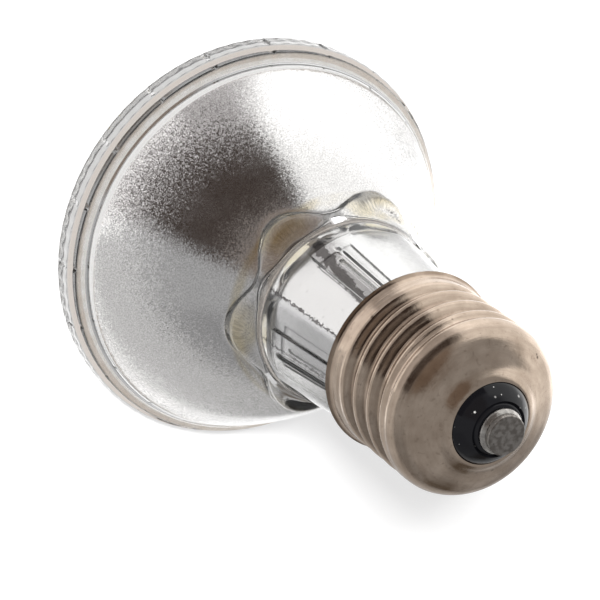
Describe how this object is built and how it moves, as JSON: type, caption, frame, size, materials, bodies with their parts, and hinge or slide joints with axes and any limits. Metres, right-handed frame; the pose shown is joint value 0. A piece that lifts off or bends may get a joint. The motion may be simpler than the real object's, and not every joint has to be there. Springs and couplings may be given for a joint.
{
  "type": "led reflector bulb",
  "caption": "Pressed-glass reflector lamp with a clear lens, a padded neck and a screw cap, standing on its lens.",
  "frame": {"origin": "middle of the flat land on the lens rim, which the lamp stands on", "axes": "+Z along the lamp's axis from the lens to the cap's contact, -Y towards the eye in the picture"},
  "size_m": [0.064, 0.064, 0.0762],
  "materials": {
    "lens_glass": "pressed clear glass, polished",
    "lens_seal": "clear cement seen edge on",
    "reflector_glass": "pressed clear glass with a metal coat on its inner face",
    "cap_cement": "grey lamp cement, matt",
    "cap_metal": "nickel plate on brass, warm grey, lightly handled",
    "cap_insulator": "black glass, glossy",
    "contact_metal": "tinned brass",
    "solder": "soft solder, mottled grey",
    "spreader": "plain aluminium, satin",
    "led_board": "white solder mask on a metal core",
    "led_emitter": "yellow phosphor",
    "led_optic": "clear dome",
    "led_holder": "white heat-proof plastic",
    "screw_steel": "zinc-plated steel",
    "driver_sleeve": "white plastic tube",
    "driver_board": "green solder mask",
    "capacitor_sleeve": "shrink sleeve over an aluminium can",
    "film_capacitor": "dipped resin",
    "fuse_body": "coated ceramic rod",
    "black_package": "moulded resin",
    "ferrite": "sintered ferrite, matt",
    "winding": "enamelled copper wire",
    "wire_red": "plastic wire cover",
    "wire_black": "plastic wire cover",
    "bare_wire": "tinned copper wire"
  },
  "bodies": {
    "root": {"front_lens": "lens_glass", "lens_seal": "lens_seal", "reflector_glass": "reflector_glass", "cap_cement": "cap_cement", "cap_shell": "cap_metal", "cap_insulator": "cap_insulator", "centre_contact": "contact_metal", "contact_solder": "solder", "heat_spreader": "spreader", "led_board": "led_board", "led_emitter": "led_emitter", "led_optic": "led_optic", "led_holder": "led_holder", "led_screws": "screw_steel", "driver_sleeve": "driver_sleeve", "driver_board": "driver_board", "bulk_capacitor": "capacitor_sleeve", "filter_capacitor": "film_capacitor", "fuse_resistor": "fuse_body", "bridge_rectifier": "black_package", "driver_chip": "black_package", "inductor_core": "ferrite", "inductor_winding": "winding", "led_lead_plus": "wire_red", "led_lead_minus": "wire_black", "shell_lead": "bare_wire", "shell_solder": "solder", "contact_lead": "bare_wire"}
  },
  "joints": []
}
